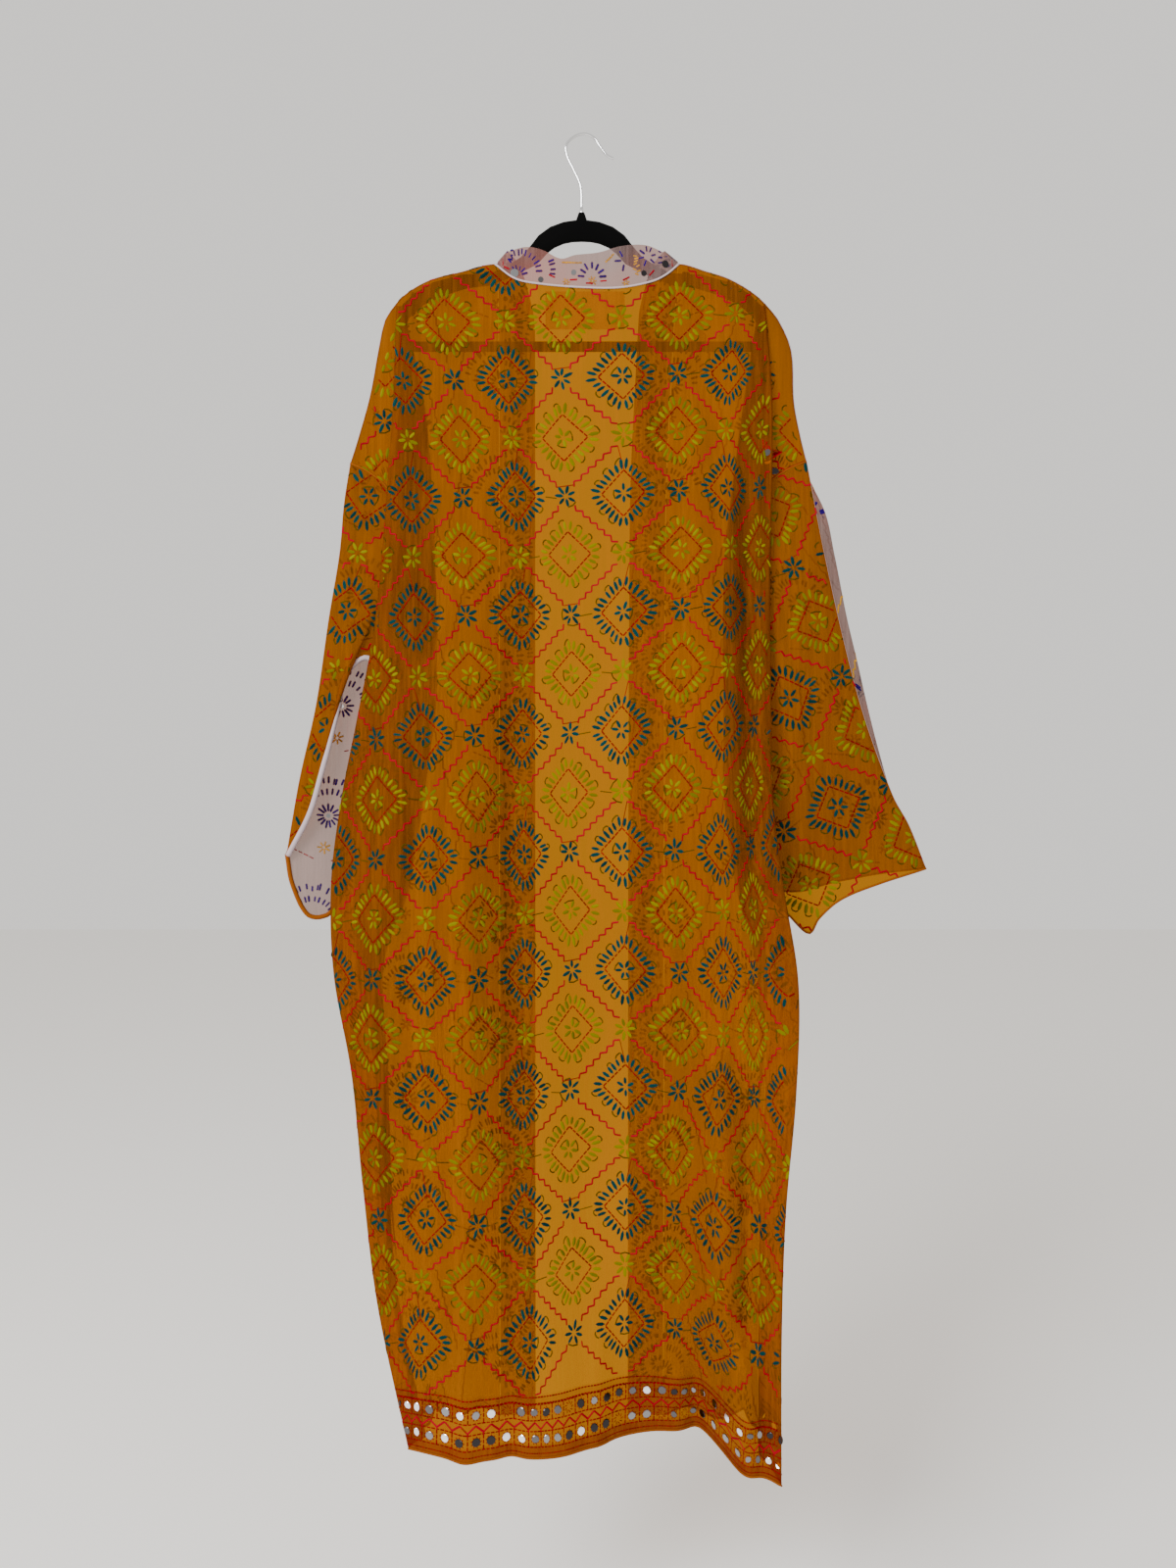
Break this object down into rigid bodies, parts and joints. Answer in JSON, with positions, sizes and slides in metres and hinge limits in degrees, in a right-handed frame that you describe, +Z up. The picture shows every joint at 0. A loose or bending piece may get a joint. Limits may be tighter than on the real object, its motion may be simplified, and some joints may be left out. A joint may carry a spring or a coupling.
{
  "type": "kimono robe on hanger",
  "caption": "Open kimono-style robe with wide sleeves, dropped shoulders and a long neckband, hung back to front on a slim hanger.",
  "frame": {"origin": "inner top of the hanger's hook, where it hangs on a rail or peg", "axes": "+Z up along the robe's length, +Y from the robe's back to its open fronts, +X to the robe's right sleeve"},
  "size_m": [0.7125, 0.1594, 1.4431],
  "materials": {
    "orange_cloth": "sheer crepe weave, matt",
    "lilac_cloth": "sheer crepe weave, matt",
    "label_cloth": "plain woven tape, matt",
    "hanger_velvet": "black flock",
    "hook_wire": "polished wire",
    "embroidery_thread": "twisted cotton thread, low sheen",
    "piping": "white corded edge",
    "mirror_disc": "small silvered glass"
  },
  "bodies": {
    "root": {"back": "orange_cloth", "front_left": "lilac_cloth", "front_right": "lilac_cloth", "sleeve_left_back": "orange_cloth", "sleeve_left_front": "lilac_cloth", "sleeve_right_back": "orange_cloth", "sleeve_right_front": "lilac_cloth", "neckband": "lilac_cloth", "neck_label": "label_cloth", "hanger": "hanger_velvet", "hanger_hook": "hook_wire"}
  },
  "joints": []
}
